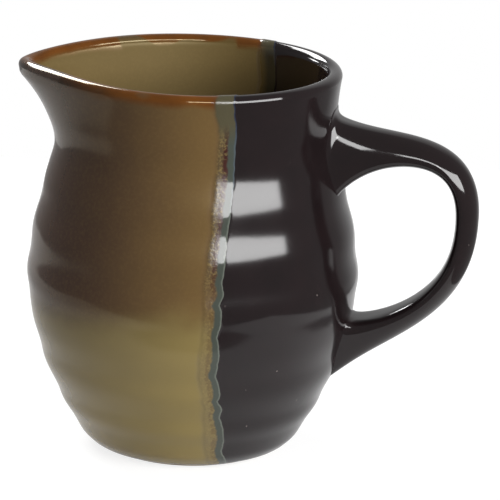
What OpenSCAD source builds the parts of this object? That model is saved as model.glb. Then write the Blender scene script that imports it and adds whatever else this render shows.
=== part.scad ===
// Small stoneware jug for cream: a ribbed round pot with a pulled spout and a
// strap handle, dipped in two glazes that overlap in a narrow upright band.
// The spout points to -X, the handle to +X, and the foot stands on the XY plane.
// All sizes are in millimetres, angles in degrees.

/* [Part] */
// Names of the separate pieces, inside to outside
// Piece to draw, or "all"

/* [Pot] */
// Height of the glazed lip above the table
jug_h = 105; // [98:0.5:115]
// Radius of the bare clay where the foot meets the table
foot_r = 23.6; // [21:0.1:26]
// Height at which the round heel runs into the side of the pot
heel_z = 5; // [4:0.1:7]
// Radius of the clay at the top of the heel
heel_r = 30; // [28:0.1:32]
// Slope of the side at the top of the heel, outwards per upwards
heel_slope = 0.6; // [0.4:0.02:0.8]
// Slope of the heel where it leaves the table, outwards per upwards
foot_slope = 2; // [1.4:0.05:2.4]
// Radius of the clay at the belly, the widest place
belly_r = 44.2; // [40:0.1:48]
// Height of the belly
belly_z = 49; // [42:0.5:56]
// Radius of the clay at the neck, the narrowest place under the lip
neck_r = 37.3; // [35:0.1:39]
// Depth of the neck below the lip
neck_drop = 16; // [13:0.5:20]
// Radius of the clay at the outside of the lip
rim_r = 38.7; // [37:0.1:41]
// Slope of the side just under the lip, outwards per upwards
rim_slope = 0.2; // [0:0.02:0.4]
// Half the clay thickness of the lip, also its rounding
lip_r = 1.25; // [1:0.05:1.6]
// Thickness of the clay wall low on the pot
wall_t = 3.8; // [3:0.1:4.5]

/* [Throwing ribs] */
// Height of each rib over the mean side
rib_depth = 0.38; // [0:0.02:0.6]
// Distance from rib to rib
rib_pitch = 12.8; // [11:0.1:15]
// Height at which the ribs begin
rib_low = 6; // [5:0.5:12]
// Depth below the lip at which the ribs end
rib_drop = 19; // [17:0.5:26]
// Length over which the ribs fade in and out
rib_fade = 8; // [4:0.5:10]

/* [Spout] */
// Reach of the spout beyond the round lip
spout_l = 9.9; // [6:0.1:13]
// Half angle of the spout as seen from above
spout_half = 23; // [18:0.5:28]
// Sharpness of the spout from above, 1 is a point and 2 is a bell curve
spout_point = 1.46; // [1.3:0.02:2]
// Depth below the lip at which the spout starts to leave the side
spout_depth = 23; // [17:0.5:28]
// Depth of the straight bead below the lip of the spout
spout_bead = 3.8; // [2.5:0.1:6]
// Curve of the spout underside, 1 is straight
spout_curve = 1.6; // [1.2:0.02:2]
// Rise of the lip on both sides of the spout
spout_rise = 1; // [0:0.1:2]
// Half angle over which the lip rises
rise_half = 60; // [45:1:75]
// Drop of the tip below the risen lip
spout_drop = 1.8; // [0:0.1:3]

/* [Inside and foot] */
// Height of the inside floor above the table
floor_z = 6.2; // [5.5:0.1:8]
// Radius of the flat part of the inside floor
floor_r = 18.5; // [18.5:0.1:20.5]
// Height of the round corner between floor and wall
corner_h = 12; // [8:0.5:16]
// Depth of the hollow turned into the underside
recess_h = 1.8; // [1:0.1:2.4]
// Radius of that hollow at the table
recess_r = 19.6; // [17:0.1:20.4]
// Draft of the wall of that hollow, inwards over its depth
recess_draft = 0.7; // [0.2:0.1:1]

/* [Glaze coats] */
// Thickness of one glaze coat
coat_t = 0.4; // [0.3:0.05:0.6]
// Thickness of the band where one glaze lies over the other
overlap_t = 0.6; // [0.5:0.05:0.9]
// Distance of the dip line from the axis, towards the handle
seam_x = 11.7; // [10.5:0.1:12.5]
// Width of the band where the two glazes overlap
overlap_w = 4.4; // [3.5:0.1:4.8]

/* [Handle] */
// Reach of the glazed handle from the axis
handle_reach = 76.9; // [70:0.1:82]
// Depth of the middle of the upper root below the lip
upper_drop = 22.2; // [20:0.2:25]
// Height of the lower root at its middle
lower_z = 28.6; // [27:0.2:32]
// Height at which the handle stands out furthest
reach_z = 68; // [62:0.5:72]
// Thickness of the glazed strap at its middle, radially
strap_t = 6; // [5.5:0.1:8]
// Width of the glazed strap at its middle, front to back
strap_w = 13; // [11:0.2:15]
// How far the widest line of the strap lies towards the pot, in half thicknesses
strap_set = 0.5; // [0:0.05:0.5]
// Extra half thickness at the upper root
upper_flare = 11.2; // [7:0.1:12]
// Extra half thickness at the lower root
lower_flare = 9.5; // [6:0.1:11]
// Share of the upper half over which the upper flare dies away
upper_fade = 0.17; // [0.12:0.01:0.22]
// Share of the lower half over which the lower flare dies away
lower_fade = 0.12; // [0.1:0.005:0.16]
// Run of the strap straight out of the upper root
upper_lead = 19.8; // [14:0.1:22]
// Climb of the strap over that run
upper_climb = 4.2; // [0:0.1:5]
// Pull of the upper bend above the furthest point
upper_pull = 20.8; // [17:0.1:24]
// Pull of the lower bend below the furthest point
lower_pull = 20.1; // [15:0.1:22]
// Run of the strap straight into the lower root
lower_lead = 29.7; // [24:0.1:32]
// Climb of the strap over that run
lower_climb = 7.8; // [5:0.1:10]
// Extra half width at the upper root
upper_spread = 0.8; // [0:0.1:4.5]
// Extra half width at the lower root
lower_spread = 0.5; // [0:0.1:4]

/* [Fineness] */
// Facets round the black side
black_n = 10; // [10:2:16]
// Facets round the tan side
tan_n = 20; // [18:2:28]
// Facets up each rib
rib_n = 4; // [4:2:8]
// Facets from the last rib up to the lip
neck_n = 5; // [4:1:8]
// Facets round the strap
strap_n = 14; // [12:2:18]
// Facets along each half of the handle
half_n = 12; // [10:1:16]

/* [Hidden] */
clay_h = jug_h - coat_t;
lip_z = clay_h - lip_r;
neck_z = jug_h - neck_drop;
rib_high = jug_h - rib_drop;
spout_z = jug_h - spout_depth;
upper_z = jug_h - upper_drop;
corner_z = floor_z + corner_h;
spout_top = clay_h - spout_bead;
band_x = seam_x + overlap_w;
// Radius of the last ring on the inside floor, and how far its middle lies short of the band
ring_r = 7;
ring_set = 6.2;
ring_x = band_x - ring_set;
// How strongly the facets gather at the spout
gather = 1.25;
// Depth of the upper end of the strap's middle line in the wall, before it is cut to it
upper_sink = 3.8;
// Least depth of the lower end of the strap below the side of the pot
tail_cover = 1;
// Height of the wall pieces that the roots are cut to, beyond the roots
root_spare = 4;
// Facets across those wall pieces, and how far in they reach as a share of the pot's radius
wall_n = 4;
inner_share = 0.6;
// Run of the cutter for the foot hollow below the table, and its facets
cut_spare = 1;
cut_n = 72;

function mix(a, b, t) = a + (b - a) * t;
function clamp01(t) = max(0, min(1, t));

// Cubic from a to b with end slopes
function hermite(t, a, b, slope_a, slope_b) =
    a * (2 * pow(t, 3) - 3 * pow(t, 2) + 1)
    + slope_a * (pow(t, 3) - 2 * pow(t, 2) + t)
    + b * (3 * pow(t, 2) - 2 * pow(t, 3))
    + slope_b * (pow(t, 3) - pow(t, 2));

function span(z, low, high) = (z - low) / (high - low);

// Mean outside radius of the clay at a height
function side_r(z) =
    z < heel_z ? hermite(z / heel_z, foot_r, heel_r, foot_slope * heel_z, heel_slope * heel_z) :
    z < belly_z ? hermite(span(z, heel_z, belly_z), heel_r, belly_r,
                          heel_slope * (belly_z - heel_z), 0) :
    z < neck_z ? hermite(span(z, belly_z, neck_z), belly_r, neck_r, 0, 0) :
    hermite(span(z, neck_z, clay_h), neck_r, rim_r, 0, rim_slope * (clay_h - neck_z));

function rib(z) =
    rib_depth * clamp01((z - rib_low) / rib_fade) * clamp01((rib_high - z) / rib_fade)
    * cos(360 * (z - belly_z) / rib_pitch);

// Inside radius of the clay, smooth and thinning towards the lip
function inner_r(z) = side_r(z) - mix(wall_t, rim_r - side_r(lip_z) + 2 * lip_r, pow(z / lip_z, 2));

// Heights of the rows up the side, in step with the crests and hollows of the ribs
rib_step = rib_pitch / rib_n;
first_rib = ceil((max(rib_low, heel_z + rib_step / 2) - belly_z) / rib_step);
last_rib = floor((rib_high - belly_z) / rib_step);
side_z = concat(
    [heel_z],
    [for (i = [first_rib : last_rib]) belly_z + i * rib_step],
    [for (i = [1 : neck_n]) mix(belly_z + last_rib * rib_step, lip_z, i / neck_n)]);

// Rows of the turned outline, each [radius, height, shift of its ring along X]
heel_rows = [for (share = [0, 0.24, 0.56]) [side_r(share * heel_z), share * heel_z, 0]];
side_rows = [for (z = side_z) [side_r(z) + rib(z), z, 0]];
lip_rows = [for (a = [36 : 36 : 144])
    [side_r(lip_z) - lip_r + lip_r * cos(a), lip_z + lip_r * sin(a), 0]];
inside_rows = [for (share = [0, 0.06, 0.13, 0.22, 0.45, 0.72, 1])
    let (z = mix(lip_z, corner_z, share))
    [inner_r(z), z, 0]];
corner_rows = [for (a = [60, 30, 0])
    [mix(floor_r, inner_r(corner_z), sin(a)), floor_z + corner_h * (1 - cos(a)), 0]];
rows = concat(heel_rows, side_rows, lip_rows, inside_rows, corner_rows, [[ring_r, floor_z, ring_x]]);
last = len(rows) - 1;
// Rows of the heel that stay bare, so that the foot can't stick in the kiln
bare_n = 1;

// Outward direction of the outline at a row
function outward(i) =
    let (a = rows[max(i - 1, 0)],
         b = i == last ? [0, floor_z] : rows[i + 1],
         run = b[0] - a[0],
         lift = b[1] - a[1],
         size = sqrt(run * run + lift * lift))
    [lift / size, -run / size];

// Columns run round the pot: the black side, the band, the tan side, the band
columns = black_n + tan_n + 2;

function column_angle(k, seam, band) =
    k <= black_n ? mix(-band, band, k / black_n) :
    let (side = 2 * (k - black_n - 1) / tan_n - 1)
    180 + (180 - seam) * sign(side) * pow(abs(side), gather);

// Outward push of the pulled spout at an angle and a height
function spout_push(angle, z) =
    let (off = abs(((angle + 360) % 360) - 180))
    spout_l * exp(-pow(off / spout_half, spout_point))
    * pow(clamp01(span(z, spout_z, spout_top)), spout_curve);

// Rise of the lip beside the spout, less the drop of its tip
function spout_lift(angle, z) =
    let (off = abs(((angle + 360) % 360) - 180))
    (spout_rise * exp(-pow(off / rise_half, 2))
     - spout_drop * exp(-pow(off / spout_half, spout_point)))
    * pow(clamp01(span(z, spout_z, clay_h)), 2);

// Point of the pot at a column and a row, raised off the clay by a coat
function pot_point(k, i, coat) =
    let (row = rows[i],
         way = outward(i),
         radius = row[0] + coat * way[0],
         angle = column_angle(k, acos((seam_x - row[2]) / radius), acos((band_x - row[2]) / radius)),
         reach = radius + spout_push(angle, row[1]))
    [row[2] + reach * cos(angle), reach * sin(angle), row[1] + coat * way[1] + spout_lift(angle, row[1])];

// The facets of a column end on the middle line of the inside floor
function middle(k) = k <= black_n ? band_x : seam_x;
function middle_point(k, coat) = [middle(k), 0, floor_z + coat];

// Two triangles for the cell with corners a b on one row and c d on the next
function cell(a, b, c, d) = [[a, c, b], [b, c, d]];
function turned(faces) = [for (f = faces) [f[2], f[1], f[0]]];
function flat(lists) = [for (list = lists) for (item = list) item];

// The clay pot without its foot hollow
module clay_pot() {
    points = concat(
        [for (i = [0 : last]) for (k = [0 : columns - 1]) pot_point(k, i, 0)],
        [middle_point(0, 0), middle_point(columns - 1, 0), [0, 0, 0]]);
    under = len(points) - 1;
    function floor_end(k) = middle(k) == middle(0) ? under - 2 : under - 1;
    sides = flat([for (i = [0 : last - 1]) for (k = [0 : columns - 1])
        let (n = (k + 1) % columns)
        cell(i * columns + k, i * columns + n, (i + 1) * columns + k, (i + 1) * columns + n)]);
    floors = flat([for (k = [0 : columns - 1])
        let (n = (k + 1) % columns, a = last * columns + k, b = last * columns + n)
        floor_end(k) == floor_end(n) ? [[a, floor_end(k), b]] : cell(a, b, floor_end(k), floor_end(n))]);
    foot = [for (k = [0 : columns - 1]) [(k + 1) % columns, under, k]];
    polyhedron(points = points, faces = concat(sides, floors, foot), convexity = 10);
}

// One glaze coat over neighbouring columns, outside, over the lip and inside
module coat(first, count, thick) {
    high = last - bare_n + 1;
    wide = count + 1;
    split = middle(first) != middle((first + count) % columns);
    half = wide * high + (split ? 2 : 1);
    points = flat([for (raise = [0, thick])
        concat([for (c = [0 : count]) for (i = [bare_n : last])
                    pot_point((first + c) % columns, i, raise)],
               [middle_point(first, raise)],
               split ? [middle_point((first + count) % columns, raise)] : [])]);
    function floor_end(c) = wide * high + (split ? c : 0);
    skin = flat([for (c = [0 : count - 1])
        let (a = c * high, b = (c + 1) * high)
        concat(flat([for (i = [0 : high - 2]) cell(a + i, b + i, a + i + 1, b + i + 1)]),
               split ? cell(a + high - 1, b + high - 1, floor_end(c), floor_end(c + 1))
                     : [[a + high - 1, floor_end(c), b + high - 1]])]);
    foot_edge = flat([for (c = [0 : count - 1])
        cell(c * high, (c + 1) * high, half + c * high, half + (c + 1) * high)]);
    side_edge = flat([for (c = [0, count])
        let (path = concat([for (i = [0 : high - 1]) c * high + i], [floor_end(c)]),
             strip = flat([for (i = [0 : high - 1])
                 cell(path[i], half + path[i], path[i + 1], half + path[i + 1])]))
        c == 0 ? strip : turned(strip)]);
    floor_edge = split ? cell(floor_end(0), floor_end(1), half + floor_end(0), half + floor_end(1)) : [];
    polyhedron(
        points = points,
        faces = concat(turned(skin), [for (f = skin) [for (v = f) v + half]],
                       foot_edge, side_edge, turned(floor_edge)),
        convexity = 10);
}

// First row of the side above a height
function row_at(z) = len(heel_rows) + len([for (side = side_z) if (side < z) side]);

// Piece of the pot wall behind a handle root, filled in to well inside the wall
module wall_block(raise, z, reach) {
    low = row_at(z - reach);
    high = row_at(z + reach);
    left = (black_n - wall_n) / 2;
    wide = wall_n + 1;
    tall = high - low + 1;
    face = [for (k = [0 : wide - 1]) for (i = [low : high]) pot_point(left + k, i, raise)];
    back = [for (p = face) [p[0] * inner_share, p[1] * inner_share, p[2]]];
    count = wide * tall;
    skin = flat([for (k = [0 : wide - 2]) for (i = [0 : tall - 2])
        cell(k * tall + i, (k + 1) * tall + i, k * tall + i + 1, (k + 1) * tall + i + 1)]);
    level = flat([for (k = [0 : wide - 2])
        concat(cell(count + k * tall, count + (k + 1) * tall, k * tall, (k + 1) * tall),
               cell(k * tall + tall - 1, (k + 1) * tall + tall - 1,
                    count + k * tall + tall - 1, count + (k + 1) * tall + tall - 1))]);
    upright = flat([for (i = [0 : tall - 2])
        concat(turned(cell(i, count + i, i + 1, count + i + 1)),
               cell((wide - 1) * tall + i, count + (wide - 1) * tall + i,
                    (wide - 1) * tall + i + 1, count + (wide - 1) * tall + i + 1))]);
    polyhedron(points = concat(face, back),
               faces = concat(skin, turned([for (f = skin) [for (v = f) v + count]]), level, upright),
               convexity = 10);
}

// Middle line of the strap, two cubic arcs that meet where it stands out furthest
strap_x = handle_reach - strap_t / 2;
// The lower end goes in so far that the flared tail is covered at its lowest point
tail_tilt = atan2(lower_climb, lower_lead);
tail_half = strap_t / 2 + lower_flare;
lower_sink = side_r(lower_z) - side_r(lower_z - tail_half * cos(tail_tilt))
             + tail_half * sin(tail_tilt) + tail_cover;
upper_root = [side_r(upper_z) - upper_sink, upper_z];
lower_root = [side_r(lower_z) - lower_sink, lower_z];
upper_arc = [upper_root, upper_root + [upper_lead, upper_climb],
             [strap_x, reach_z + upper_pull], [strap_x, reach_z]];
lower_arc = [[strap_x, reach_z], [strap_x, reach_z - lower_pull],
             lower_root + [lower_lead, lower_climb], lower_root];

function arc_point(arc, t) =
    arc[0] * pow(1 - t, 3) + arc[1] * 3 * t * pow(1 - t, 2)
    + arc[2] * 3 * pow(t, 2) * (1 - t) + arc[3] * pow(t, 3);
function arc_way(arc, t) =
    (arc[1] - arc[0]) * pow(1 - t, 2) + (arc[2] - arc[1]) * 2 * t * (1 - t)
    + (arc[3] - arc[2]) * pow(t, 2);

// Ring of points round the strap at a station, set in from the glazed face.
// The outside of the strap is round and the side towards the pot is flat.
function strap_ring(station, inset) =
    let (upper = station < half_n,
         t = upper ? station / half_n : station / half_n - 1,
         arc = upper ? upper_arc : lower_arc,
         mid = arc_point(arc, t),
         way = arc_way(arc, t),
         out = [way[1], -way[0]] / -norm(way),
         fade = upper ? exp(-t / upper_fade) : exp(-(1 - t) / lower_fade),
         thick = strap_t / 2 + fade * (upper ? upper_flare : lower_flare) - inset,
         wide = strap_w / 2 + fade * (upper ? upper_spread : lower_spread) - inset)
    [for (j = [0 : strap_n - 1])
        let (a = 360 * j / strap_n,
             depth = thick * (cos(a) - strap_set * pow(sin(a), 2)))
        [mid[0] + out[0] * depth, wide * sin(a), mid[1] + out[1] * depth]];

// Length of strap between two stations
module strap(from, to, inset) {
    rings = [for (s = [from : to]) strap_ring(s, inset)];
    count = len(rings);
    skin = flat([for (s = [0 : count - 2]) for (j = [0 : strap_n - 1])
        let (n = (j + 1) % strap_n)
        cell(s * strap_n + j, s * strap_n + n, (s + 1) * strap_n + j, (s + 1) * strap_n + n)]);
    ends = [[for (j = [strap_n - 1 : -1 : 0]) j],
            [for (j = [0 : strap_n - 1]) (count - 1) * strap_n + j]];
    polyhedron(points = flat(rings), faces = concat(turned(skin), ends), convexity = 6);
}

stations = 2 * half_n;
root_n = floor(half_n / 2);

// Pieces of wall that the two roots are cut to, taller than the roots
module upper_wall(raise) {
    wall_block(raise, upper_z, strap_t / 2 + upper_flare + root_spare);
}

module lower_wall(raise) {
    wall_block(raise, lower_z, strap_t / 2 + lower_flare + root_spare);
}

module body() {
    color("Tan")
    difference() {
        clay_pot();
        translate([0, 0, -cut_spare])
        cylinder(h = recess_h + cut_spare,
                 r1 = recess_r + recess_draft * cut_spare / recess_h,
                 r2 = recess_r - recess_draft,
                 $fn = cut_n);
    }
}

// Scored and slipped bed between the pot and the upper root
module upper_joint() {
    color("Sienna")
    difference() {
        intersection() {
            strap(0, root_n, coat_t);
            upper_wall(coat_t);
        }
        upper_wall(0);
    }
}

// The same between the pot and the lower root
module lower_joint() {
    color("Sienna")
    difference() {
        intersection() {
            strap(stations - root_n, stations, coat_t);
            lower_wall(coat_t);
        }
        lower_wall(0);
    }
}

module handle() {
    color("Tan")
    difference() {
        strap(0, stations, coat_t);
        upper_wall(coat_t);
        lower_wall(coat_t);
    }
}

module tan_glaze() {
    color("DarkKhaki")
    coat(black_n + 1, tan_n, coat_t);
}

module overlap_glaze() {
    color("CadetBlue")
    union() {
        coat(black_n, 1, overlap_t);
        coat(columns - 1, 1, overlap_t);
    }
}

module black_glaze() {
    color("DimGray")
    difference() {
        coat(0, black_n, coat_t);
        difference() {
            strap(0, root_n, coat_t);
            upper_wall(-coat_t);
        }
        difference() {
            strap(stations - root_n, stations, coat_t);
            lower_wall(-coat_t);
        }
    }
}

module handle_glaze() {
    color("DarkSlateGray")
    difference() {
        strap(0, stations, 0);
        strap(0, stations, coat_t);
        upper_wall(coat_t);
        lower_wall(coat_t);
    }
}

body();
upper_joint();
lower_joint();
handle();
tan_glaze();
overlap_glaze();
black_glaze();
handle_glaze();
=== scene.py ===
import math

import bpy
import numpy as np
from mathutils import Matrix, Vector


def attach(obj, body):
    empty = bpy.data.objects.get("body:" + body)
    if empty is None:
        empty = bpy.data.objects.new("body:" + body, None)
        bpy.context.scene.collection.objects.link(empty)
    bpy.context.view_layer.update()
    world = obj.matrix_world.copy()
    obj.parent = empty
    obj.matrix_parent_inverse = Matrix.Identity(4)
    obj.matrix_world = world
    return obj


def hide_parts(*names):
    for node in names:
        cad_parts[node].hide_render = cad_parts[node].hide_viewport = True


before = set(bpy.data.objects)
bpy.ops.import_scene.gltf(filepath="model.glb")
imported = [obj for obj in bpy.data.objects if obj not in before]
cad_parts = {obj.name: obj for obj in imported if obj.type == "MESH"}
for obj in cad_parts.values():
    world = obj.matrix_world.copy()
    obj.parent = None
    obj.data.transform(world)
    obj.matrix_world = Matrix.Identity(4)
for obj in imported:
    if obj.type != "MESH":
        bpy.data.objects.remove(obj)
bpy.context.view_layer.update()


# The clay pot. It is thrown on a wheel from buff stoneware: soft finger ribs up the belly, a lip
# rounded with a wet cloth, and a spout pulled from the lip while the clay is still soft. Glaze
# hides it all but the foot ring, which is wiped bare so that it can't stick in the kiln.

MM = 0.001
jug_h = 105
coat_t = 0.4
foot_r = 23.6
foot_slope = 2
heel_z = 5
heel_r = 30
heel_slope = 0.6
belly_r = 44.2
belly_z = 49
neck_r = 37.3
neck_z = 89
rim_r = 38.7
rim_slope = 0.2
lip_r = 1.6
wall_t = 3.8
clay_h = jug_h - coat_t
lip_z = clay_h - lip_r

# The fingers leave crests and hollows at uneven heights: each height, and how far it stands off.
finger_lines = [(3, 0), (8.4, -0.18), (12.9, 0.22), (17, -0.15), (23.8, 0.28), (29.2, -0.2),
                (35.5, 0.07), (43, -0.1), (48, 0.26), (54.3, -0.35), (61.8, 0.2), (67.8, -0.05),
                (74.2, 0.3), (84.5, -0.42), (92, 0)]

spout_l = 9.9
spout_half = 23
spout_point = 1.46
spout_z = 82
spout_top = clay_h - 3.8
spout_curve = 1.6
spout_rise = 1
rise_half = 60
spout_drop = 1.8

floor_z = 6.2
floor_r = 18.5
corner_h = 12
corner_z = floor_z + corner_h
recess_h = 1.8
recess_r = 19.6
recess_draft = 0.7
ring_edge = 0.6
pot_n = 128


def hermite(t, start, end, start_slope, end_slope):
    """Cubic from start to end with the slopes given at both ends."""
    return (start * (2 * t**3 - 3 * t**2 + 1) + start_slope * (t**3 - 2 * t**2 + t)
            + end * (3 * t**2 - 2 * t**3) + end_slope * (t**3 - t**2))


def side_radius(z):
    """Mean outside radius of the clay at a height."""
    z = np.asarray(z)
    heel = hermite(z / heel_z, foot_r, heel_r, foot_slope * heel_z, heel_slope * heel_z)
    low_h, high_h, rim_h = belly_z - heel_z, neck_z - belly_z, clay_h - neck_z
    floor_lit_low = hermite((z - heel_z) / low_h, heel_r, belly_r, heel_slope * low_h, 0)
    high = hermite((z - belly_z) / high_h, belly_r, neck_r, 0, 0)
    neck = hermite((z - neck_z) / rim_h, neck_r, rim_r, 0, rim_slope * rim_h)
    return np.select([z < heel_z, z < belly_z, z < neck_z], [heel, floor_lit_low, high], neck)


def rib(z):
    """Stand-off of the side at a height, rounded from each crest to the next hollow."""
    line_z, line_off = np.array(finger_lines).T
    i = np.clip(np.searchsorted(line_z, z) - 1, 0, len(line_z) - 2)
    t = np.clip((z - line_z[i]) / (line_z[i + 1] - line_z[i]), 0, 1)
    return line_off[i] + (line_off[i + 1] - line_off[i]) * (1 - np.cos(np.pi * t)) / 2


def inside_radius(z):
    """Radius of the smooth inside of the wall, which thins towards the lip."""
    lip_t = rim_r - side_radius(lip_z) + 2 * lip_r
    return side_radius(z) - (wall_t + (lip_t - wall_t) * (z / lip_z)**2)


def outline(side_step, inside_rows, lip_rows):
    """Radii and heights up the outside, over the lip and down to the flat of the inside floor."""
    foot_crowd, lip_crowd, corner_rows = 1.15, 1.3, 16
    side = np.linspace(0, 1, int(lip_z / side_step))**foot_crowd * lip_z
    lip = np.linspace(0, np.pi, lip_rows + 2)[1:-1]
    inside = lip_z + (corner_z - lip_z) * np.linspace(0, 1, inside_rows)**lip_crowd
    corner = np.linspace(np.pi / 2, 0, corner_rows)[1:]
    lip_middle = side_radius(lip_z) - lip_r
    radii = [side_radius(side) + rib(side), lip_middle + lip_r * np.cos(lip), inside_radius(inside),
             floor_r + (inside_radius(corner_z) - floor_r) * np.sin(corner)]
    heights = [side, lip_z + lip_r * np.sin(lip), inside, floor_z + corner_h * (1 - np.cos(corner))]
    return np.concatenate(radii), np.concatenate(heights)


def spread(radii, heights, angles, middle_x=0.0):
    """Points of the pot for rows of radius and height at the angles, with the spout pulled out."""
    off = np.abs(angles % (2 * np.pi) - np.pi) * 180 / np.pi
    tip = np.exp(-(off / spout_half)**spout_point)
    push = spout_l * tip * np.clip((heights - spout_z) / (spout_top - spout_z), 0, 1)**spout_curve
    rise = spout_rise * np.exp(-(off / rise_half)**2) - spout_drop * tip
    lift = rise * np.clip((heights - spout_z) / (clay_h - spout_z), 0, 1)**2
    reach = radii + push
    return np.stack([middle_x + reach * np.cos(angles), reach * np.sin(angles), heights + lift], axis=-1)


def grid_faces(rows, columns, closed):
    """Four-sided faces between the rows of a grid of points, facing outwards."""
    last = columns if closed else columns - 1
    return [(i * columns + k, i * columns + (k + 1) % columns,
             (i + 1) * columns + (k + 1) % columns, (i + 1) * columns + k)
            for i in range(rows - 1) for k in range(last)]


def new_piece(name, points_mm, faces, material, slot, *nodes):
    """Smooth mesh that rides on the jug and stands for the given nodes of the frame."""
    mesh = bpy.data.meshes.new(name)
    mesh.from_pydata((np.asarray(points_mm) * MM).tolist(), [], faces)
    mesh.shade_smooth()
    mesh.materials.append(material)
    piece = bpy.data.objects.new(name, mesh)
    bpy.context.scene.collection.objects.link(piece)
    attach(piece, "root")
    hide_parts(*nodes)
    return piece


def linear(hex_colour):
    """Linear colour of an sRGB hex value."""
    parts = [int(hex_colour[i:i + 2], 16) / 255 for i in (1, 3, 5)]
    return [c / 12.92 if c <= 0.04045 else ((c + 0.055) / 1.055)**2.4 for c in parts] + [1.0]


def add(tree, kind, inputs=None, **settings):
    """Add a shader node, set it up and fill its inputs: values and hex colours, or links from a
    socket or from a node's first live output."""
    made = tree.nodes.new("ShaderNode" + kind)
    for name, value in settings.items():
        setattr(made, name, value)
    for name, value in (inputs or {}).items():
        if isinstance(value, str):
            value = linear(value)
        if isinstance(value, bpy.types.Node):
            value = next(socket for socket in value.outputs if socket.enabled)
        if isinstance(value, bpy.types.NodeSocket):
            tree.links.new(value, made.inputs[name])
        else:
            made.inputs[name].default_value = value
    return made


def new_material(name):
    """Empty node material, with its tree and the object's own coordinates in metres."""
    material = bpy.data.materials.new(name)
    material.use_nodes = True
    tree = material.node_tree
    tree.nodes.clear()
    return material, tree, add(tree, "TexCoord").outputs["Object"]


# Bare buff stoneware, fired to a hard matt biscuit: a dry, slightly gritty skin with clouds of a
# darker buff and fine iron specks. Real grit is about 0.2 mm, and is drawn at 0.5 mm to show.
CLAY = "#B49A74"
CLAY_DARK = "#957A57"
IRON_SPECK = "#5B4028"
stoneware, tree, place = new_material("bare_stoneware")
cloud = add(tree, "TexNoise", {"Vector": place, "Scale": 1 / (6 * MM), "Detail": 5.0})
clay = add(tree, "Mix", {"Factor": cloud, "A": CLAY, "B": CLAY_DARK}, data_type="RGBA")
speck = add(tree, "TexVoronoi", {"Vector": place, "Scale": 1 / (1.6 * MM)})
near = add(tree, "MapRange", {"Value": speck, "From Min": 0.12, "From Max": 0.2,
                              "To Min": 0.8, "To Max": 0.0})
specked = add(tree, "Mix", {"Factor": near, "A": clay, "B": IRON_SPECK}, data_type="RGBA")
grit = add(tree, "TexNoise", {"Vector": place, "Scale": 1 / (0.5 * MM), "Detail": 3.0})
skin = add(tree, "Bump", {"Height": grit, "Strength": 0.35, "Distance": 0.15 * MM})
biscuit = add(tree, "BsdfPrincipled", {"Base Color": specked, "Normal": skin,
                                       "Roughness": 0.82, "IOR": 1.5})
add(tree, "OutputMaterial", {"Surface": biscuit})

# The clay shows only at the foot, so its inside rows are few. The underside is turned to a ring.
radii, heights = outline(side_step=1.6, inside_rows=40, lip_rows=8)
recess_top_r = recess_r - recess_draft
under_r = [recess_r * 0.5, recess_top_r - ring_edge, recess_top_r,
           recess_r, recess_r + 0.5, foot_r - ring_edge]
under_z = [recess_h, recess_h, recess_h - 0.4, 0.3, 0.0, 0.0]
radii = np.concatenate([under_r, radii, [floor_r * 0.5]])
heights = np.concatenate([under_z, heights, [floor_z]])
around_pot = np.linspace(0, 2 * np.pi, pot_n, endpoint=False)
rings = spread(radii[:, None], heights[:, None], around_pot[None, :])
points = np.concatenate([rings.reshape(-1, 3), [[0, 0, recess_h], [0, 0, floor_z]]])
recess_hub = len(radii) * pot_n
floor_hub, floor_ring = recess_hub + 1, recess_hub - pot_n
faces = grid_faces(len(radii), pot_n, closed=True)
faces += [(recess_hub, (k + 1) % pot_n, k) for k in range(pot_n)]
faces += [(floor_ring + k, floor_ring + (k + 1) % pot_n, floor_hub) for k in range(pot_n)]
new_piece("clay_pot", points, faces, stoneware, "stoneware", "body")


# The clay strap and its two beds of slip. The strap is pulled by hand from a lump of the same
# clay, scored and stuck to the pot with slip, and the glaze hides all three.

# Slip, the same clay let down with water and fired: a dull brown smear.
SLIP = "#8C6B4A"
SLIP_DARK = "#6F5138"
slip, tree, place = new_material("fired_slip")
cloud = add(tree, "TexNoise", {"Vector": place, "Scale": 1 / (2 * MM), "Detail": 4.0})
smear = add(tree, "Mix", {"Factor": cloud, "A": SLIP, "B": SLIP_DARK}, data_type="RGBA")
dull = add(tree, "BsdfPrincipled", {"Base Color": smear, "Roughness": 0.85})
add(tree, "OutputMaterial", {"Surface": dull})
for node, material in [("handle", stoneware), ("upper_joint", slip), ("lower_joint", slip)]:
    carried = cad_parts[node]
    carried.data.materials.clear()
    carried.data.materials.append(material)


# The glaze on the pot. The jug is dipped spout first in a tan glaze and handle first in a black
# one, so that they overlap in an upright band. Each coat runs over the lip and down the inside,
# and all three melt together in the kiln into one unbroken glassy skin.

overlap_raise = 0.16
swell_from, swell_w, swell_to, swell_drop = -0.3, 1.2, 3.25, 0.4
bare_foot = 1.0
glaze_ramp = 0.45
roll_h, roll_path, roll_w = 0.12, 1.3, 0.8
clay_bite = 0.05

# The band lies to the right of the spout. Its edge leans a little, bulges under the lip and runs
# down in lobes, which die away on the upper half.
black_x, edge_lean, lean_z, lean_h = 15.35, 0.95, 58, 18
bulge_x, bulge_z, bulge_h = 0.7, 95.5, 4.5
lobe_l, lobe_x, lobe_mean, tan_lobe_x = 9.0, 0.85, 0.64, 0.4
calm_x, calm_z, calm_h = 0.7, 50, 20
grey_w, band_w, boil_w = 1.75, 4.9, 0.8
back_shift = 2.1


def ripple(path, *waves):
    """Sum of waves along a path, each with a length, a height and a start."""
    return sum(height * np.sin(2 * np.pi * (path / length) + start) for length, height, start in waves)


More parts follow.
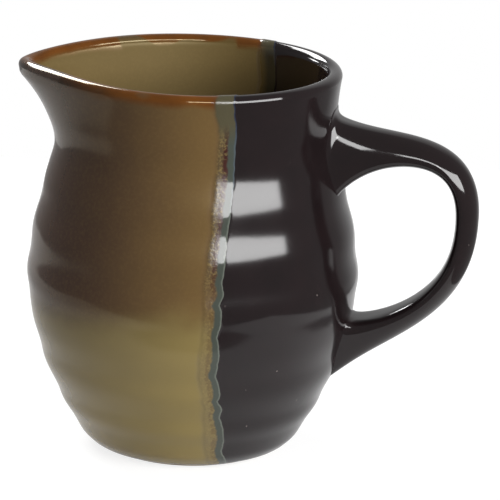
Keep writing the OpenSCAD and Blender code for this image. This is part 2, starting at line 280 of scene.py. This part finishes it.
def dip_lines(path, heights, front):
    """Where the tan glaze, the speckled strip, the grey strip and the black glaze begin, along X."""
    rise = np.tanh((heights - lean_z) / lean_h)
    upper = np.clip((heights - calm_z) / calm_h, 0, 1)
    shift = 0.0 if front else back_shift
    run = path + ripple(path, (29.0, 1.9, 0.6 + shift), (17.0, 0.8, 3.4))
    lobes = np.abs(np.sin(np.pi * run / lobe_l + shift)) - lobe_mean
    bulge = np.exp(-((heights - bulge_z) / bulge_h)**2)
    black = black_x + edge_lean * rise + bulge_x * bulge + (lobe_x - calm_x * upper) * lobes
    black += ripple(path, (4.1, 0.06, 2.0 + shift), (2.3, 0.03, 0.5), (33.0, 0.2, 4.1 - shift))
    grey = black - grey_w + ripple(path, (6.2, 0.1, shift), (3.3, 0.07, 1.3), (15.0, 0.12, 2.0))
    tan = black - band_w + ripple(path, (23.0, 0.25, 1.0 + shift), (9.5, 0.12, 3.0))
    tan -= tan_lobe_x * lobes
    return tan, tan + boil_w, grey, black


def outward(radii, heights):
    """Outward direction of an outline at each of its points."""
    run, lift = np.gradient(radii), np.gradient(heights)
    size = np.hypot(run, lift)
    return lift / size, -run / size


radii, heights = outline(side_step=0.75, inside_rows=56, lip_rows=18)
bare = heights < bare_foot
bare[len(heights) // 2:] = False
radii, heights = radii[~bare], heights[~bare]
path = np.concatenate([[0], np.cumsum(np.hypot(np.diff(radii), np.diff(heights)))])
from_lip = path - path[np.argmax(heights)]
way_r, way_z = outward(radii, heights)

# The floor of the inside narrows to a line under the band, so that all three coats end there.
floor_n = 9
ring_r, ring_x = 7.0, 9.9
narrow = np.linspace(0, 1, floor_n + 1)[1:]
middle = np.concatenate([np.zeros(len(radii)), ring_x * narrow])
radii = np.concatenate([radii, floor_r + (ring_r - floor_r) * narrow])
heights = np.concatenate([heights, np.full(floor_n, floor_z)])
way_r = np.concatenate([way_r, np.zeros(floor_n)])
way_z = np.concatenate([way_z, np.ones(floor_n)])
path = np.concatenate([path, path[-1] + (floor_r - ring_r) * narrow])
from_lip = np.concatenate([from_lip, np.full(floor_n, from_lip[-1])])

black_n, band_n, tan_n = 40, 18, 76
half_n = black_n + band_n + tan_n
melt_tan, melt_black = 0.6, 0.5
spout_crowd = 1.25
on_black = np.linspace(0, 1, black_n, endpoint=False)
on_band = np.linspace(0, 1, band_n, endpoint=False)
on_tan = 1 - (1 - np.linspace(0, 1, tan_n, endpoint=False))**spout_crowd


def half_ring(front):
    """Angles of the columns from the handle to the spout, and where the dip lines lie, per row."""
    lines = np.stack(dip_lines(path, heights, front))
    reach = radii + coat_t * way_r
    to_black = np.arccos((lines[3] + melt_black - middle) / reach)[:, None]
    to_tan = np.arccos((lines[0] - melt_tan - middle) / reach)[:, None]
    angles = np.concatenate([to_black * on_black, to_black + (to_tan - to_black) * on_band,
                             to_tan + (np.pi - to_tan) * on_tan], axis=1)
    return angles, lines


back_angles, back_lines = half_ring(front=False)
front_angles, front_lines = half_ring(front=True)
spout_column = np.full((len(radii), 1), np.pi)
angles = np.concatenate([back_angles, spout_column, 2 * np.pi - front_angles[:, :0:-1]], axis=1)
columns = angles.shape[1]
is_front = np.arange(columns) > half_n


def glaze_grid(lift):
    """Points of a skin raised off the clay, with one more row on the middle line of the floor."""
    rows = spread(radii[:, None] + lift * way_r[:, None], heights[:, None] + lift * way_z[:, None],
                  angles, middle[:, None])
    from_handle = np.minimum(np.arange(columns), columns - np.arange(columns))
    share = np.clip((from_handle - black_n) / band_n, 0, 1)
    end_x = (1 - share) * (back_lines[3][-1] + melt_black) + share * (back_lines[0][-1] - melt_tan)
    end_z = np.full(columns, floor_z + np.mean(lift[-1]))
    return np.concatenate([rows, np.stack([end_x, np.zeros(columns), end_z], axis=-1)[None]])


# Across the band the place runs from 0 at the tan glaze to 1, 2 and 3 at the next lines.
plain = glaze_grid(np.full((len(radii), columns), coat_t))
across = np.zeros((len(radii), columns))
for i in range(len(radii)):
    for lines, side in [(back_lines, ~is_front), (front_lines, is_front)]:
        stops = lines[:, i]
        x = plain[i, side, 0]
        between = np.interp(x, stops, [0, 1, 2, 3])
        across[i, side] = between + np.minimum(x - stops[0], 0) + np.maximum(x - stops[3], 0)

# The coats lie double across the band, thin out to the bare foot and end there in a small roll.
swell = np.clip((across - swell_from) / swell_w, 0, 1) * np.clip((swell_to - across) / swell_drop, 0, 1)
swell = swell * swell * (3 - 2 * swell)
edge = 1 - np.exp(-np.clip(path, 0, None) / glaze_ramp)
roll = roll_h * np.exp(-((path - roll_path) / roll_w)**2)
lift = (coat_t * edge + roll)[:, None] + overlap_raise * edge[:, None] * swell
outer = glaze_grid(lift)
inner = glaze_grid(np.full_like(lift, -clay_bite))
across = np.concatenate([across, across[-1:]])
from_lip = np.concatenate([from_lip, from_lip[-1:]])

along = np.roll(outer, -1, axis=1) - np.roll(outer, 1, axis=1)
facing = np.cross(along, np.gradient(outer, axis=0))
facing /= np.maximum(np.linalg.norm(facing, axis=-1, keepdims=True), 1e-9)
facing[-floor_n:] = (0, 0, 1)


def coat_piece(name, picked, material, slot, node):
    """Closed skin over the picked columns, with the melted surface's own shading across its sides."""
    wide, high = len(picked), len(outer)
    points = np.concatenate([outer[:, picked].reshape(-1, 3), inner[:, picked].reshape(-1, 3)])
    half = wide * high
    skin = grid_faces(high, wide, closed=False)
    faces = skin + [tuple(v + half for v in reversed(face)) for face in skin]
    loop = list(range(wide)) + [i * wide + wide - 1 for i in range(1, high)]
    loop += [(high - 1) * wide + k for k in range(wide - 2, -1, -1)]
    loop += [i * wide for i in range(high - 2, 0, -1)]
    faces += [(b, a, a + half, b + half) for a, b in zip(loop, loop[1:] + loop[:1])]

    # The columns of the plain coats meet in one point on the floor, which is made one vertex.
    keep, merged = np.unique(np.round(points, 6), axis=0, return_index=True, return_inverse=True)[1:]
    merged = merged.reshape(-1)
    solid = []
    for face in faces:
        corners = list(dict.fromkeys(int(merged[v]) for v in face))
        if len(corners) > 2:
            solid.append(corners)
    piece = new_piece(name, points[keep], solid, material, slot, node)
    ways = facing[:, picked].reshape(-1, 3)
    piece.data.normals_split_custom_set_from_vertices(np.concatenate([ways, -ways])[keep].tolist())
    lip_rows = np.repeat(from_lip[:, None], wide, axis=1)
    for label, values in [("across", across[:, picked]), ("from_lip", lip_rows)]:
        field = piece.data.attributes.new(label, "FLOAT", "POINT")
        field.data.foreach_set("value", np.tile(values.reshape(-1), 2)[keep].astype(np.float32))


# Tan iron glaze over stoneware, dipped: a smooth, softly shining brown, yellower towards the band and
# olive inside, where it is matt. Its darker brown towards the spout is partly painted shade, away from
# the lamp at the right, and its paler olive low on the pot is painted light from the white floor.
# It breaks to a glossy rust where it runs thin over the lip.
TAN_BROWN = "#422F2B"
TAN_YELLOW = "#665030"
TAN_OLIVE = "#6C5F40"
TAN_OLIVE_PALE = "#807045"
TAN_INSIDE = "#5C4B28"
TAN_GRAIN = "#7D6840"
TAN_MIRROR = "#FFEDC0"
RUST = "#754212"
RUST_DARK = "#46280F"
SPOUT_LIP_SHADE = "#2A1711"


def tan_finish(tree, place):
    """Colour, roughness, surface height and share of inside of the tan glaze."""
    x, _, z = add(tree, "SeparateXYZ", {0: place}).outputs
    lip = add(tree, "Attribute", attribute_name="from_lip").outputs["Fac"]
    cloud = add(tree, "TexNoise", {"Vector": place, "Scale": 1 / (14 * MM), "Detail": 3.0})
    wander = add(tree, "Math", {0: cloud, 1: 14 * MM, 2: x}, operation="MULTIPLY_ADD")
    # Darker brown towards the spout and yellower towards the band: partly the glaze's own colour, partly
    # painted shade, darker away from the lamp at the right.
    to_band_and_lamp = add(tree, "MapRange", {"Value": wander, "From Min": -26 * MM, "From Max": 20 * MM},
                  interpolation_type="SMOOTHSTEP")
    brown = add(tree, "Mix", {"Factor": to_band_and_lamp, "A": TAN_BROWN, "B": TAN_YELLOW}, data_type="RGBA")

    # Painted light: below a cloudy, slanting line half way up, the tan turns a paler olive that stands
    # in for the white floor's light and its mirror image. Over the lip it turns the olive of the inside.
    olive = add(tree, "Mix", {"Factor": to_band_and_lamp, "A": TAN_OLIVE, "B": TAN_OLIVE_PALE}, data_type="RGBA")
    sunk = add(tree, "Math", {0: cloud, 1: 10 * MM, 2: z}, operation="MULTIPLY_ADD")
    slant = add(tree, "Math", {0: x, 1: -0.14, 2: sunk}, operation="MULTIPLY_ADD")
    floor_lit_low = add(tree, "MapRange", {"Value": slant, "From Min": 56.6 * MM, "From Max": 46.6 * MM},
              interpolation_type="SMOOTHSTEP")
    ground = add(tree, "Mix", {"Factor": floor_lit_low, "A": brown, "B": olive}, data_type="RGBA")
    over = add(tree, "MapRange", {"Value": lip, "From Min": -1.0, "From Max": 3.0},
               interpolation_type="SMOOTHSTEP")
    ground = add(tree, "Mix", {"Factor": over, "A": ground, "B": TAN_INSIDE}, data_type="RGBA")
    grain = add(tree, "TexNoise", {"Vector": place, "Scale": 1 / (0.8 * MM), "Detail": 3.0})
    fleck = add(tree, "MapRange", {"Value": grain, "From Min": 0.45, "From Max": 0.8, "To Max": 0.15})
    ground = add(tree, "Mix", {"Factor": fleck, "A": ground, "B": TAN_GRAIN}, data_type="RGBA")

    # Over the lip the coat is thin: rust, with olive gaps where it pooled, and painted shade, near
    # black, just under the lip at the spout.
    depth = add(tree, "Math", {0: lip}, operation="ABSOLUTE")
    drift = add(tree, "TexNoise", {"Vector": place, "Scale": 1 / (7 * MM), "Detail": 3.0})
    patch = add(tree, "TexNoise", {"Vector": place, "Scale": 1 / (19 * MM), "Detail": 1.0})
    pooled = add(tree, "MapRange", {"Value": patch, "From Min": 0.56, "From Max": 0.62, "To Max": 4.0})
    thick = add(tree, "Math", {0: pooled, 1: depth}, operation="ADD")
    thick = add(tree, "Math", {0: drift, 1: 2.4, 2: thick}, operation="MULTIPLY_ADD")
    rusty = add(tree, "MapRange", {"Value": thick, "From Min": 3.0, "From Max": 5.4,
                                   "To Min": 1.0, "To Max": 0.0}, interpolation_type="SMOOTHSTEP")
    rust = add(tree, "Mix", {"Factor": drift, "A": RUST_DARK, "B": RUST}, data_type="RGBA")
    # Painted shade under the spout's lip: the rust there goes near black.
    at_spout = add(tree, "MapRange", {"Value": x, "From Min": -14 * MM, "From Max": -34 * MM})
    outside = add(tree, "MapRange", {"Value": lip, "From Min": -0.4, "From Max": -1.6})
    under_spout_shade = add(tree, "Math", {0: at_spout, 1: outside}, operation="MULTIPLY")
    rust = add(tree, "Mix", {"Factor": under_spout_shade, "A": rust, "B": SPOUT_LIP_SHADE}, data_type="RGBA")
    colour = add(tree, "Mix", {"Factor": rusty, "A": ground, "B": rust}, data_type="RGBA")

    # The rust is glossy, the outside satin, and the inside matt from close below the lip.
    satin = add(tree, "MapRange", {"Value": lip, "From Min": 1.6, "From Max": 4.0,
                                   "To Min": 0.15, "To Max": 0.72}, interpolation_type="SMOOTHSTEP")
    rough = add(tree, "Mix", {"Factor": rusty, "A": satin, "B": 0.08})
    inside = add(tree, "MapRange", {"Value": lip, "From Min": 0.5, "From Max": 5.0},
                 interpolation_type="SMOOTHSTEP")
    return colour, rough, grain, inside


# Black iron and manganese glaze, dipped: glassy and near black with a faint plum brown cast, a
# slow ripple like orange peel, a few pin-holes, and a slight veil away from the lip.
BLACK = "#171213"
BLACK_BROWN = "#1E1516"
PIN_HOLE = "#7A716C"


def black_finish(tree, place):
    """Colour, roughness and surface height of the black glaze."""
    cloud = add(tree, "TexNoise", {"Vector": place, "Scale": 1 / (8 * MM), "Detail": 4.0})
    ground = add(tree, "Mix", {"Factor": cloud, "A": BLACK, "B": BLACK_BROWN}, data_type="RGBA")
    pit = add(tree, "TexVoronoi", {"Vector": place, "Scale": 1 / (4.2 * MM)})
    chance = add(tree, "SeparateColor", {0: pit.outputs["Color"]})
    rare = add(tree, "Math", {0: chance, 1: 0.72}, operation="GREATER_THAN")
    near = add(tree, "MapRange", {"Value": pit, "From Min": 0.03, "From Max": 0.07,
                                  "To Min": 0.7, "To Max": 0.0})
    hole = add(tree, "Math", {0: near, 1: rare}, operation="MULTIPLY")
    colour = add(tree, "Mix", {"Factor": hole, "A": ground, "B": PIN_HOLE}, data_type="RGBA")
    gloss = add(tree, "MapRange", {"Value": cloud, "To Min": 0.05, "To Max": 0.11})

    # The strap has no distance from the lip, which then reads as 0, so its gloss has no veil.
    lip = add(tree, "Attribute", attribute_name="from_lip").outputs["Fac"]
    depth = add(tree, "Math", {0: lip}, operation="ABSOLUTE")
    veil = add(tree, "MapRange", {"Value": depth, "From Min": 4.0, "From Max": 12.0, "To Max": 0.055})
    rough = add(tree, "Math", {0: gloss, 1: veil}, operation="ADD")
    return colour, rough, cloud


def finish_glaze(tree, colour, rough, height, bump_mm, ior=1.5, mirror="#FFFFFF"):
    """Make a glaze with its colour, roughness and fine relief the surface of its material."""
    relief = add(tree, "Bump", {"Height": height, "Strength": 0.5, "Distance": bump_mm * MM})
    glass = add(tree, "BsdfPrincipled", {"Base Color": colour, "Roughness": rough, "Normal": relief,
                                         "IOR": ior, "Specular Tint": mirror})
    add(tree, "OutputMaterial", {"Surface": glass})


tan_glaze, tree, place = new_material("satin_tan_glaze")
colour, rough, height, _ = tan_finish(tree, place)
finish_glaze(tree, colour, rough, height, bump_mm=0.008, ior=1.58, mirror=TAN_MIRROR)
black_glaze, tree, place = new_material("gloss_black_glaze")
colour, rough, height = black_finish(tree, place)
finish_glaze(tree, colour, rough, height, bump_mm=0.05)

# Tan glaze lying over black: it boils up to a mottled olive strip with maroon flecks, then floats
# out into a smooth grey strip with a paler run edge against the black.
MOTTLE_DARK = "#4A3D2B"
MOTTLE_LIGHT = "#74633C"
MAROON = "#381815"
GREY = "#41463F"
GREY_OLIVE = "#4B4633"
BLUE_EDGE = "#475056"
NAVY = "#22293D"
PALE_EDGE = "#5F645C"
SHADE_INSIDE = "#2E2A1E"
overlap_glaze, tree, place = new_material("gloss_overlap_glaze")
tan_colour, tan_rough, _, inside = tan_finish(tree, place)
black_colour, black_rough, _ = black_finish(tree, place)
z = add(tree, "SeparateXYZ", {0: place}).outputs["Z"]
upper = add(tree, "MapRange", {"Value": z, "From Min": 52 * MM, "From Max": 66 * MM})
near_lip = add(tree, "MapRange", {"Value": z, "From Min": 92 * MM, "From Max": 98 * MM})
fine = add(tree, "TexNoise", {"Vector": place, "Scale": 1 / (0.9 * MM), "Detail": 3.0})
band = add(tree, "Attribute", attribute_name="across").outputs["Fac"]
ragged = add(tree, "Math", {0: fine, 1: 0.24, 2: band}, operation="MULTIPLY_ADD")
where = add(tree, "Math", {0: ragged, 1: 0.12}, operation="SUBTRACT")

# The mottle is coarse on the upper side and dies away low on the pot and next to the lip.
boil = add(tree, "TexNoise", {"Vector": place, "Scale": 1 / (0.6 * MM), "Detail": 2.0})
bright = add(tree, "MapRange", {"Value": boil, "From Min": 0.45, "From Max": 0.63})
mottle = add(tree, "Mix", {"Factor": bright, "A": MOTTLE_DARK, "B": MOTTLE_LIGHT}, data_type="RGBA")
calm = add(tree, "MapRange", {"Value": upper, "To Min": 0.75, "To Max": 0.15})
mottle = add(tree, "Mix", {"Factor": calm, "A": mottle, "B": tan_colour}, data_type="RGBA")
clot = add(tree, "TexNoise", {"Vector": place, "Scale": 1 / (1.1 * MM), "Detail": 2.0})
clotted = add(tree, "MapRange", {"Value": clot, "From Min": 0.4, "From Max": 0.5})
fleck_line = add(tree, "MapRange", {"Value": where, "From Min": 1.3, "From Max": 1.55})
flecked = add(tree, "Math", {0: clotted, 1: fleck_line}, operation="MULTIPLY")
fleck_rise = add(tree, "MapRange", {"Value": upper, "To Min": 0.3, "To Max": 0.95})
flecked = add(tree, "Math", {0: flecked, 1: fleck_rise}, operation="MULTIPLY")
mottle = add(tree, "Mix", {"Factor": flecked, "A": mottle, "B": MAROON}, data_type="RGBA")
mottle = add(tree, "Mix", {"Factor": near_lip, "A": mottle, "B": GREY_OLIVE}, data_type="RGBA")

# The grey strip's run edge is bluish up the side, navy at the lip and pale low on the pot.
falling = add(tree, "MapRange", {"Value": z, "From Min": 82 * MM, "From Max": 72 * MM})
run_edge = add(tree, "Mix", {"Factor": falling, "A": BLUE_EDGE, "B": PALE_EDGE}, data_type="RGBA")
run_edge = add(tree, "Mix", {"Factor": near_lip, "A": run_edge, "B": NAVY}, data_type="RGBA")
grey = add(tree, "Mix", {"Factor": near_lip, "A": GREY, "B": GREY_OLIVE}, data_type="RGBA")
colour, rough = tan_colour, tan_rough
for start, end, next_colour, next_rough in [(-0.1, 1.1, mottle, 0.22), (1.8, 2.1, grey, 0.08),
                                            (2.68, 2.9, run_edge, 0.08)]:
    step = add(tree, "MapRange", {"Value": where, "From Min": start, "From Max": end},
               interpolation_type="SMOOTHSTEP")
    colour = add(tree, "Mix", {"Factor": step, "A": colour, "B": next_colour}, data_type="RGBA")
    rough = add(tree, "Mix", {"Factor": step, "A": rough, "B": next_rough})

# Inside, the tan only darkens into the black.
shade = add(tree, "MapRange", {"Value": where, "From Min": 0.5, "From Max": 2.0},
            interpolation_type="SMOOTHSTEP")
shaded = add(tree, "Mix", {"Factor": shade, "A": tan_colour, "B": SHADE_INSIDE}, data_type="RGBA")
colour = add(tree, "Mix", {"Factor": inside, "A": colour, "B": shaded}, data_type="RGBA")
to_black = add(tree, "MapRange", {"Value": where, "From Min": 2.97, "From Max": 3.03})
colour = add(tree, "Mix", {"Factor": to_black, "A": colour, "B": black_colour}, data_type="RGBA")
rough = add(tree, "Mix", {"Factor": to_black, "A": rough, "B": black_rough})

# The boiled strip is pitted, and the rest of the band is as smooth as the black.
ended = add(tree, "MapRange", {"Value": where, "From Min": 1.75, "From Max": 1.95,
                               "To Min": 1.0, "To Max": 0.0})
begun = add(tree, "MapRange", {"Value": where, "From Min": 0.2, "From Max": 1.0})
pitted = add(tree, "Math", {0: ended, 1: begun}, operation="MULTIPLY")
skin = add(tree, "Math", {0: fine, 1: 0.15}, operation="MULTIPLY")
skin = add(tree, "Math", {0: pitted, 1: boil, 2: skin}, operation="MULTIPLY_ADD")
finish_glaze(tree, colour, rough, skin, bump_mm=0.08)

# The columns run from the handle round the back to the spout, and on round the front.
tan_columns = list(range(black_n + band_n, columns - black_n - band_n + 1))
coat_piece("tan_coat", tan_columns, tan_glaze, "tan_glaze", "tan_glaze")
black_columns = list(range(columns - black_n, columns)) + list(range(black_n + 1))
coat_piece("black_coat", black_columns, black_glaze, "black_glaze", "black_glaze")
back_columns = list(range(black_n, black_n + band_n + 1))
coat_piece("overlap_band_back", back_columns, overlap_glaze, "overlap_glaze", "overlap_glaze")
front_columns = list(range(columns - black_n - band_n, columns - black_n + 1))
coat_piece("overlap_band_front", front_columns, overlap_glaze, "overlap_glaze", "overlap_glaze")


# The glaze on the handle. The strap goes into the black glaze with that side of the pot. It is
# domed outside and flatter towards the fingers, squarer and flared at its roots, and the glaze
# pools in a fillet where they meet the pot.

handle_reach = 76.9
upper_z = 82.8
lower_z = 28.6
reach_z = 68
strap_t = 6
strap_w = 13.4
strap_set, root_set = 0.35, 0.5
root_square = 0.43
square_fade = 0.28
upper_flare, upper_fade, upper_spread = 11.2, 0.17, 2.4
lower_flare, lower_fade, lower_spread = 9.5, 0.12, 0.5
upper_lead, upper_climb, upper_pull, upper_sink = 19.8, 4.2, 20.8, 3.8
lower_lead, lower_climb, lower_pull = 29.7, 7.8, 20.1
tail_cover = 1
root_depth = 0.7
along_n, round_n, sample_n = 80, 112, 2500
root_crowd = 1.7

# The pools of glaze at each root: outside, towards the fingers and on the edges of the strap.
upper_pools, upper_pool_reach = (1.0, 0.2, 0.1), 0.8
lower_pools, lower_pool_reach = (-0.5, 1.2, 0.25), 1.0

strap_x = handle_reach - strap_t / 2
tail_tilt = math.atan2(lower_climb, lower_lead)
tail_half = strap_t / 2 + lower_flare
tail_z = lower_z - tail_half * math.cos(tail_tilt)
lower_sink = side_radius(lower_z) - side_radius(tail_z) + tail_half * math.sin(tail_tilt) + tail_cover
upper_root = np.array([side_radius(upper_z) - upper_sink, upper_z])
lower_root = np.array([side_radius(lower_z) - lower_sink, lower_z])
furthest = np.array([strap_x, reach_z])
upper_arc = [upper_root, upper_root + [upper_lead, upper_climb], furthest + [0, upper_pull], furthest]
lower_arc = [lower_root, lower_root + [lower_lead, lower_climb], furthest - [0, lower_pull], furthest]
halves = np.linspace(0, 2, round_n, endpoint=False)
turn = np.pi * (np.floor(halves) + (halves % 1)**2 * (3 - 2 * (halves % 1)))


def strap_side(points):
    """Distance of points from the glazed side of the pot, below zero inside it."""
    side = side_radius(points[..., 2]) + rib(points[..., 2]) + coat_t
    return np.hypot(points[..., 0], points[..., 1]) - side


def half_strap(arc, above, flare, fade, widen, pools, pool_reach):
    """Rows of points from a root to the furthest place, each line starting just under the glaze."""
    t = np.linspace(0, 1, sample_n)[:, None]
    u = 1 - t
    middle = arc[0] * u**3 + arc[1] * 3 * t * u**2 + arc[2] * 3 * t**2 * u + arc[3] * t**3
    run = (arc[1] - arc[0]) * u**2 + (arc[2] - arc[1]) * 2 * t * u + (arc[3] - arc[2]) * t**2
    out = above * np.stack([-run[:, 1], run[:, 0]], axis=1) / np.linalg.norm(run, axis=1, keepdims=True)
    root = np.exp(-t / fade)
    half_t, half_w = strap_t / 2 + flare * root, strap_w / 2 + widen * root
    square = np.exp(-(t / square_fade)**2)
    side = np.abs(np.sin(turn))**(1 + (root_square - 1) * square)
    depth = half_t * (np.cos(turn) - (strap_set + (root_set - strap_set) * square) * np.sin(turn)**2)
    width = half_w * np.sign(np.sin(turn)) * side
    points = np.stack([middle[:, :1] + out[:, :1] * depth, width,
                       middle[:, 1:] + out[:, 1:] * depth], axis=-1)
    around = np.roll(points, -1, axis=1) - np.roll(points, 1, axis=1)
    facing = np.cross(around, np.gradient(points, axis=0)) * -above
    facing /= np.linalg.norm(facing, axis=-1, keepdims=True)
    outside, fingers, edges = pools
    pool = (outside * np.maximum(np.cos(turn), 0)**2 + fingers * np.maximum(-np.cos(turn), 0)**2
            + edges * np.sin(turn)**2)
    clear = np.maximum(strap_side(points), -root_depth)
    points += facing * (pool * np.exp(-clear / pool_reach))[..., None]
    clear = strap_side(points)
    rows = np.zeros((along_n, round_n, 3))
    for k in range(round_n):
        under = np.nonzero(clear[:, k] < -root_depth)[0]
        start = t[under[-1], 0] if len(under) else 0.0
        stops = start + (1 - start) * np.linspace(0, 1, along_n)**root_crowd
        for axis in range(3):
            rows[:, k, axis] = np.interp(stops, t[:, 0], points[:, k, axis])
    return rows


upper_rows = half_strap(upper_arc, 1, upper_flare, upper_fade, upper_spread,
                        upper_pools, upper_pool_reach)
lower_rows = half_strap(lower_arc, -1, lower_flare, lower_fade, lower_spread,
                        lower_pools, lower_pool_reach)
rings = np.concatenate([upper_rows, lower_rows[-2::-1]])
points = np.concatenate([rings.reshape(-1, 3), [rings[0].mean(axis=0), rings[-1].mean(axis=0)]])
first_hub = len(rings) * round_n
last_hub, last_ring = first_hub + 1, first_hub - round_n
faces = [tuple(reversed(face)) for face in grid_faces(len(rings), round_n, closed=True)]
faces += [(first_hub, k, (k + 1) % round_n) for k in range(round_n)]
faces += [(last_hub, last_ring + (k + 1) % round_n, last_ring + k) for k in range(round_n)]
new_piece("handle_coat", points, faces, black_glaze, "black_glaze", "handle_glaze")


# The table, a white board with its near edge just in front of the jug. It keeps the jug's soft
# shadow; the glaze mirrors it with painted shade, a dimmer glow, most of all at the left.

WHITE = "#FFFFFF"
view_azimuth = 9.0
board_near, board_far, board_left, board_right = -0.1, 0.3, -0.3, 0.12
board_z = -0.05 * MM
board_glow, shaded_mirror_glow, shaded_mirror_glow_left = 0.82, 0.52, 0.25


def staged(name, points, faces, material):
    """Mesh of the studio, in metres, turned to face the camera."""
    mesh = bpy.data.meshes.new(name)
    mesh.from_pydata(points, [], faces)
    mesh.materials.append(material)
    thing = bpy.data.objects.new(name, mesh)
    thing.rotation_euler = (0, 0, math.radians(view_azimuth))
    bpy.context.scene.collection.objects.link(thing)
    return thing


def seen_rays(tree):
    """One for rays that show the surroundings as they are, seen straight, mirrored or through glass."""
    rays = add(tree, "LightPath").outputs
    straight = add(tree, "Math", {0: rays["Is Camera Ray"], 1: rays["Is Glossy Ray"]},
                   operation="MAXIMUM")
    return add(tree, "Math", {0: straight, 1: rays["Is Transmission Ray"]}, operation="MAXIMUM")


# Matt white board: it lights the jug from below as a grey-white, and is seen as plain white.
BOARD_LIT = "#E6E6E6"
BOARD_SHADE = "#8C8C8C"
board, tree, place = new_material("white_board")
lit = add(tree, "BsdfDiffuse", {"Color": BOARD_LIT})
shaded = add(tree, "BsdfDiffuse", {"Color": BOARD_SHADE})
from_left = add(tree, "SeparateXYZ", {0: place}).outputs["X"]
# Painted shade: in the glaze the board glows dimmer than it is seen, and dimmer still at its left.
mirrored = add(tree, "MapRange", {"Value": from_left, "From Min": -0.13, "From Max": -0.07,
                                  "To Min": shaded_mirror_glow_left, "To Max": shaded_mirror_glow})
in_mirror = add(tree, "LightPath").outputs["Is Glossy Ray"]
strength = add(tree, "MapRange", {"Value": in_mirror, "To Min": board_glow, "To Max": mirrored})
glow = add(tree, "Emission", {"Color": WHITE, "Strength": strength})
shown = add(tree, "AddShader", {0: shaded, 1: glow})
surface = add(tree, "MixShader", {0: seen_rays(tree), 1: lit, 2: shown})
add(tree, "OutputMaterial", {"Surface": surface})
corners = [(board_left, board_near, board_z), (board_right, board_near, board_z),
           (board_right, board_far, board_z), (board_left, board_far, board_z)]
staged("table_board", corners, [(0, 1, 2, 3)], board)


# The dim room round the table, which only the glaze shows: grey walls, paler at the back, and there
# more to the right than to the left.

room_dark, room_left, room_pale = 0.22, 0.3, 0.55
room_r, room_n = 1.4, 48
room_low, room_high = -0.3, 1.5
sky_light, sky_seen = 0.15, 1.0

room, tree, place = new_material("dim_room")
x, y, _ = add(tree, "SeparateXYZ", {0: place}).outputs
pale = add(tree, "MapRange", {"Value": x, "From Min": -0.6, "From Max": 0.2,
                              "To Min": room_left, "To Max": room_pale})
behind = add(tree, "MapRange", {"Value": y, "From Min": 0.8, "From Max": 1.25})
level = add(tree, "Mix", {"Factor": behind, "A": room_dark, "B": pale})
glow = add(tree, "Emission", {"Color": WHITE, "Strength": level})
add(tree, "OutputMaterial", {"Surface": glow})
ring = [2 * math.pi * k / room_n for k in range(room_n)]
points = [(room_r * math.cos(angle), room_r * math.sin(angle), height)
          for height in (room_low, room_high) for angle in ring]
faces = [(k, (k + 1) % room_n, room_n + (k + 1) % room_n, room_n + k) for k in range(room_n)]
faces += [tuple(range(room_n)), tuple(range(room_n, 2 * room_n))]
walls = staged("room_walls", points, faces, room)
walls.visible_camera = False
walls.visible_diffuse = False
walls.visible_shadow = False
walls.visible_transmission = False

world = bpy.data.worlds.new("studio")
world.use_nodes = True
tree = world.node_tree
tree.nodes.clear()
strength = add(tree, "MapRange", {"Value": seen_rays(tree), "To Min": sky_light, "To Max": sky_seen})
sky = add(tree, "Background", {"Color": WHITE, "Strength": strength})
add(tree, "OutputWorld", {"Surface": sky})
bpy.context.scene.world = world


# The lamps. A large soft box stands to the right of the camera and lights the front; the glaze
# mirrors it on the upper side of each rib. A narrow card above the camera carries its streak on
# along the lip and the handle. A smaller soft box hangs behind, on the left.

jug_middle = Vector((0.0, 0.0, 52 * MM))


def toward(azimuth, elevation):
    """Direction from the jug, with azimuth 0 straight towards the camera and 90 to its right."""
    a, e = math.radians(azimuth + view_azimuth), math.radians(elevation)
    return Vector((math.sin(a) * math.cos(e), -math.cos(a) * math.cos(e), math.sin(e)))


def soft_box(name, azimuth, elevation, distance, width, height, radiance):
    """Flat lamp turned to the jug, with its brightness given as seen in a mirror."""
    lamp = bpy.data.lights.new(name, "AREA")
    lamp.shape = "RECTANGLE"
    lamp.size, lamp.size_y = width, height
    lamp.energy = radiance * math.pi * width * height
    stand = bpy.data.objects.new(name, lamp)
    stand.location = jug_middle + distance * toward(azimuth, elevation)
    stand.rotation_euler = (jug_middle - stand.location).to_track_quat("-Z", "Y").to_euler()
    bpy.context.scene.collection.objects.link(stand)
    return stand


soft_box("front_soft_box", azimuth=43.5, elevation=22.5, distance=0.7,
         width=0.668, height=0.295, radiance=11.5)
card = soft_box("front_card", azimuth=7, elevation=31, distance=0.7,
                width=0.272, height=0.11, radiance=11.5)
card.visible_diffuse = False
soft_box("back_soft_box", azimuth=215, elevation=35, distance=0.8,
         width=0.4, height=0.4, radiance=14.0)


# The camera, a long lens a little above the jug and turned slightly towards the handle.

view_elevation = 15.99
view_roll = 1.524
view_distance = 0.9
view_target = Vector((15.16, 2.4, 53.87)) * MM
back = toward(0, view_elevation)
right = Vector((math.cos(math.radians(view_azimuth)), math.sin(math.radians(view_azimuth)), 0))
up = back.cross(right)
roll = math.radians(view_roll)
across_frame = right * math.cos(roll) + up * math.sin(roll)
up_frame = up * math.cos(roll) - right * math.sin(roll)
lens = bpy.data.cameras.new("camera")
lens.sensor_width = 36.0
lens.lens = 239.4
camera = bpy.data.objects.new("camera", lens)
turned = Matrix((across_frame, up_frame, back)).transposed().to_4x4()
camera.matrix_world = Matrix.Translation(view_target + view_distance * back) @ turned
bpy.context.scene.collection.objects.link(camera)
bpy.context.scene.camera = camera
bpy.context.scene.view_settings.view_transform = "Standard"
